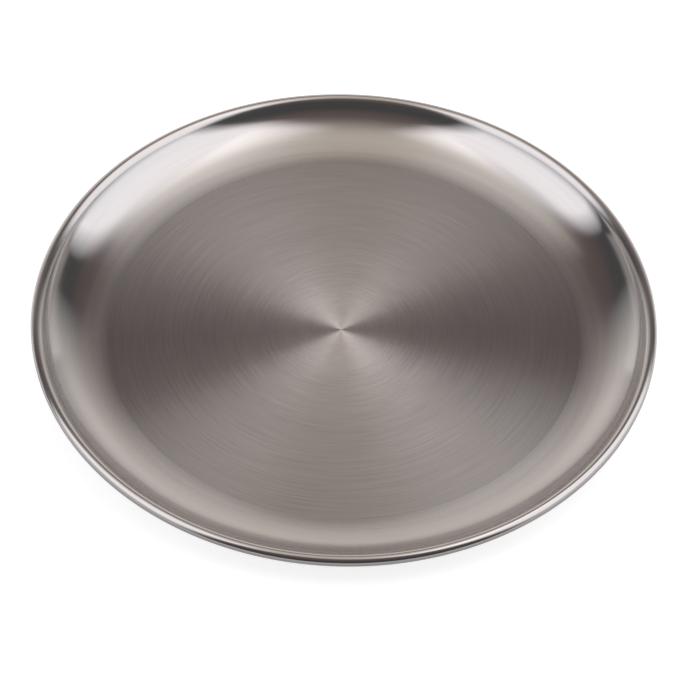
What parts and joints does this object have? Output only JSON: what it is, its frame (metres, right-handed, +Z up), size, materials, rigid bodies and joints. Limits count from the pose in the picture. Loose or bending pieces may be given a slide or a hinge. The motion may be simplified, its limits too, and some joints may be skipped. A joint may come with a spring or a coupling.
{
  "type": "round plate",
  "caption": "Shallow round steel plate with a flat brushed floor, a coved satin wall and a polished edge rolled around a wire ring, for serving food.",
  "frame": {"origin": "on the plate's axis, on the surface that the plate stands on", "axes": "+Z up along the plate's axis, out of its open side; X and Y are alike, because the plate is round"},
  "size_m": [0.26, 0.26, 0.015],
  "materials": {
    "plate_steel": "floor brushed in fine circles, wall satin polished, rolled rim bright polished",
    "wire_steel": "plain drawn wire, hidden inside the rolled rim"
  },
  "bodies": {
    "root": {"pressed_plate": "plate_steel", "rim_wire": "wire_steel"}
  },
  "joints": []
}
